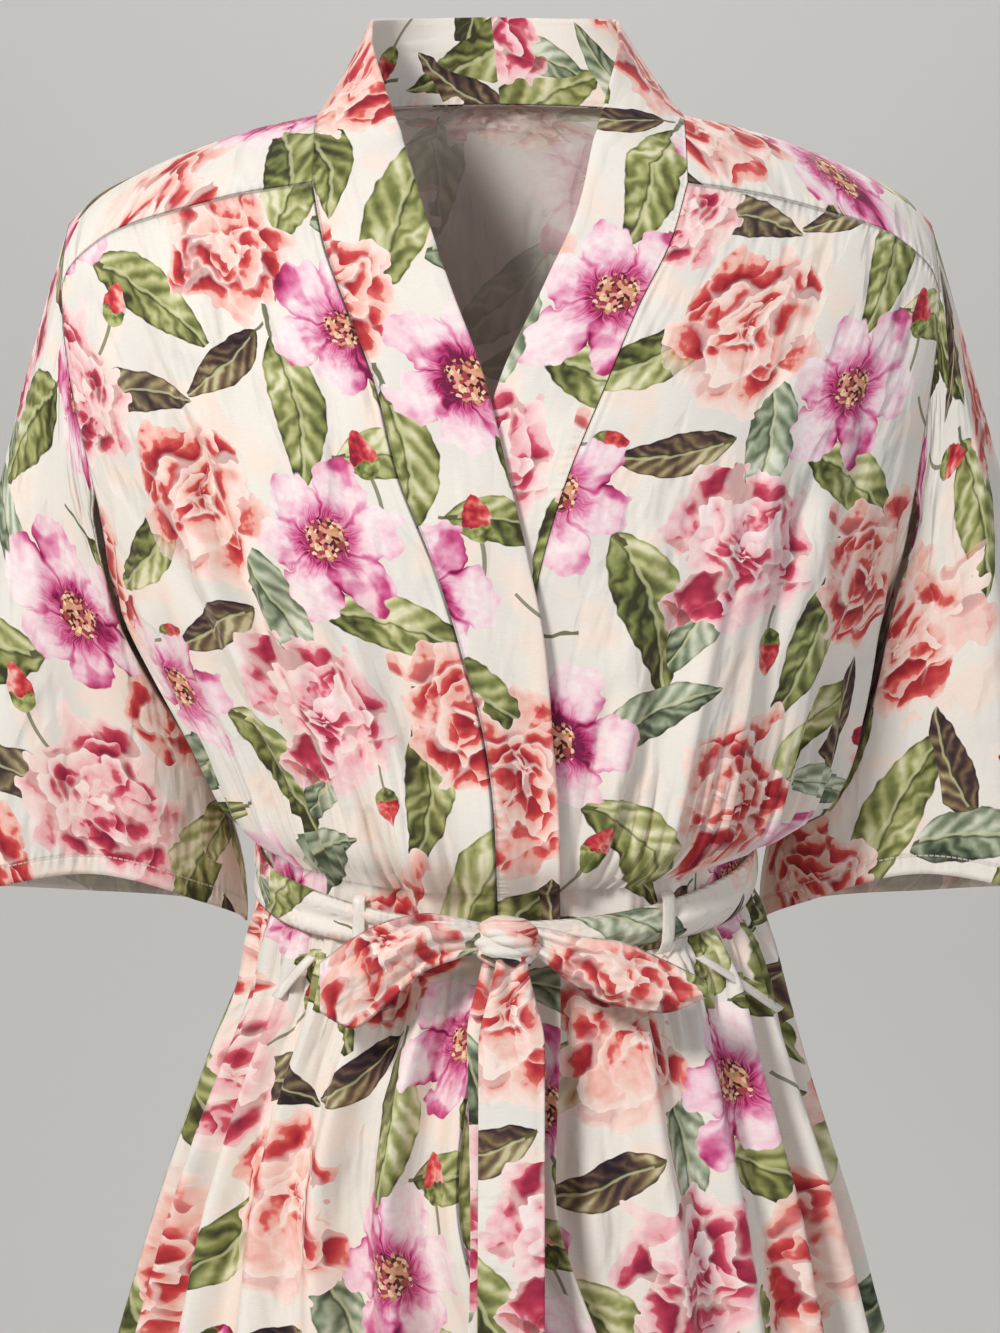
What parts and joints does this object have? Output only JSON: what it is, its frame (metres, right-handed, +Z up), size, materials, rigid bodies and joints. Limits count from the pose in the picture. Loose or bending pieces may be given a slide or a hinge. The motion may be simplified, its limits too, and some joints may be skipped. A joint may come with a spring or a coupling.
{
  "type": "kimono robe",
  "caption": "Knee-length wrap robe of thin printed jersey with wide elbow sleeves, a broad band round the neck and fronts, and a sash tied in a bow; hollow, as worn",
  "frame": {"origin": "level with the shoulder points of the neckline, on the centre line, 5 mm in front of the top of the shoulders, where the wearer's shoulders carry the robe", "axes": "+Z up; the front of the robe faces -Y; +X is the viewer's right as seen from the front, which is the wearer's left"},
  "size_m": [0.634, 0.3638, 0.9656],
  "materials": {
    "printed_jersey": "thin matt cotton jersey, ivory ground with a watercolour flower and leaf print",
    "printed_band": "the same printed jersey, folded double and pressed",
    "printed_sash": "the same printed jersey, sewn double as a soft sash",
    "white_tape": "narrow smooth white tape with a slight satin sheen"
  },
  "bodies": {
    "root": {"back": "printed_jersey", "front_wearer_right": "printed_jersey", "front_wearer_left": "printed_jersey", "band_wearer_right": "printed_band", "band_wearer_left": "printed_band", "sleeve_viewer_left": "printed_jersey", "sleeve_viewer_right": "printed_jersey", "sash_waist": "printed_sash", "sash_knot": "printed_sash", "bow_loop_viewer_left": "printed_sash", "bow_loop_viewer_right": "printed_sash", "sash_tail_front": "printed_sash", "sash_tail_behind": "printed_sash", "belt_loop_viewer_left": "white_tape", "belt_loop_viewer_right": "white_tape", "pocket_edge_viewer_left": "white_tape", "pocket_edge_viewer_right": "white_tape"}
  },
  "joints": []
}
